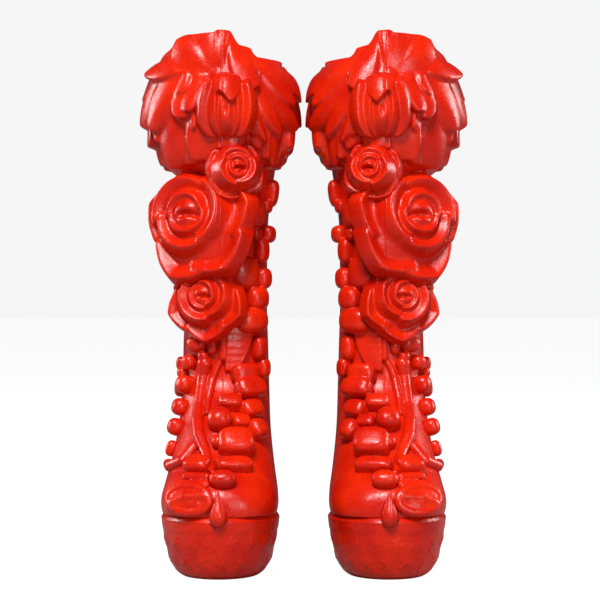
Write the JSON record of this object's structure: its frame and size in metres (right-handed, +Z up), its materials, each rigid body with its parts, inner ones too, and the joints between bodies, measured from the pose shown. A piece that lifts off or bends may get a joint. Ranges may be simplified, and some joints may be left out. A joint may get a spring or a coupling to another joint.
{
  "type": "doll boots",
  "caption": "Pair of moulded soft-plastic doll boots with a high heel, platform sole, flared petal collar, and roses, beads, a vine and a bow in relief.",
  "frame": {"origin": "on the floor, midway between the two boots and at the middle of their depth", "axes": "+Z up, from the soles to the collars; -Y the way the toes point; +X from the right boot to the left boot"},
  "size_m": [0.0336, 0.0248, 0.0551],
  "materials": {
    "vinyl": "satin, soft and slightly translucent"
  },
  "bodies": {
    "right_boot": {"right_shaft": "vinyl", "right_foot": "vinyl", "right_platform": "vinyl", "right_heel": "vinyl", "right_collar": "vinyl", "right_collar_bud": "vinyl", "right_upper_rose": "vinyl", "right_large_rose": "vinyl", "right_lower_rose": "vinyl", "right_inner_beads": "vinyl", "right_outer_beads": "vinyl", "right_centre_beads": "vinyl", "right_lace_bars": "vinyl", "right_vine_stems": "vinyl", "right_leaf": "vinyl", "right_bow": "vinyl", "right_drop_bead": "vinyl"},
    "left_boot": {"left_shaft": "vinyl", "left_foot": "vinyl", "left_platform": "vinyl", "left_heel": "vinyl", "left_collar": "vinyl", "left_collar_bud": "vinyl", "left_upper_rose": "vinyl", "left_large_rose": "vinyl", "left_lower_rose": "vinyl", "left_inner_beads": "vinyl", "left_outer_beads": "vinyl", "left_centre_beads": "vinyl", "left_lace_bars": "vinyl", "left_vine_stems": "vinyl", "left_leaf": "vinyl", "left_bow": "vinyl", "left_drop_bead": "vinyl"}
  },
  "joints": [
    {"name": "pair_spacing", "type": "slide", "parent": "right_boot", "child": "left_boot", "axis": [1, 0, 0], "range_m": [0, 0.04]}
  ]
}
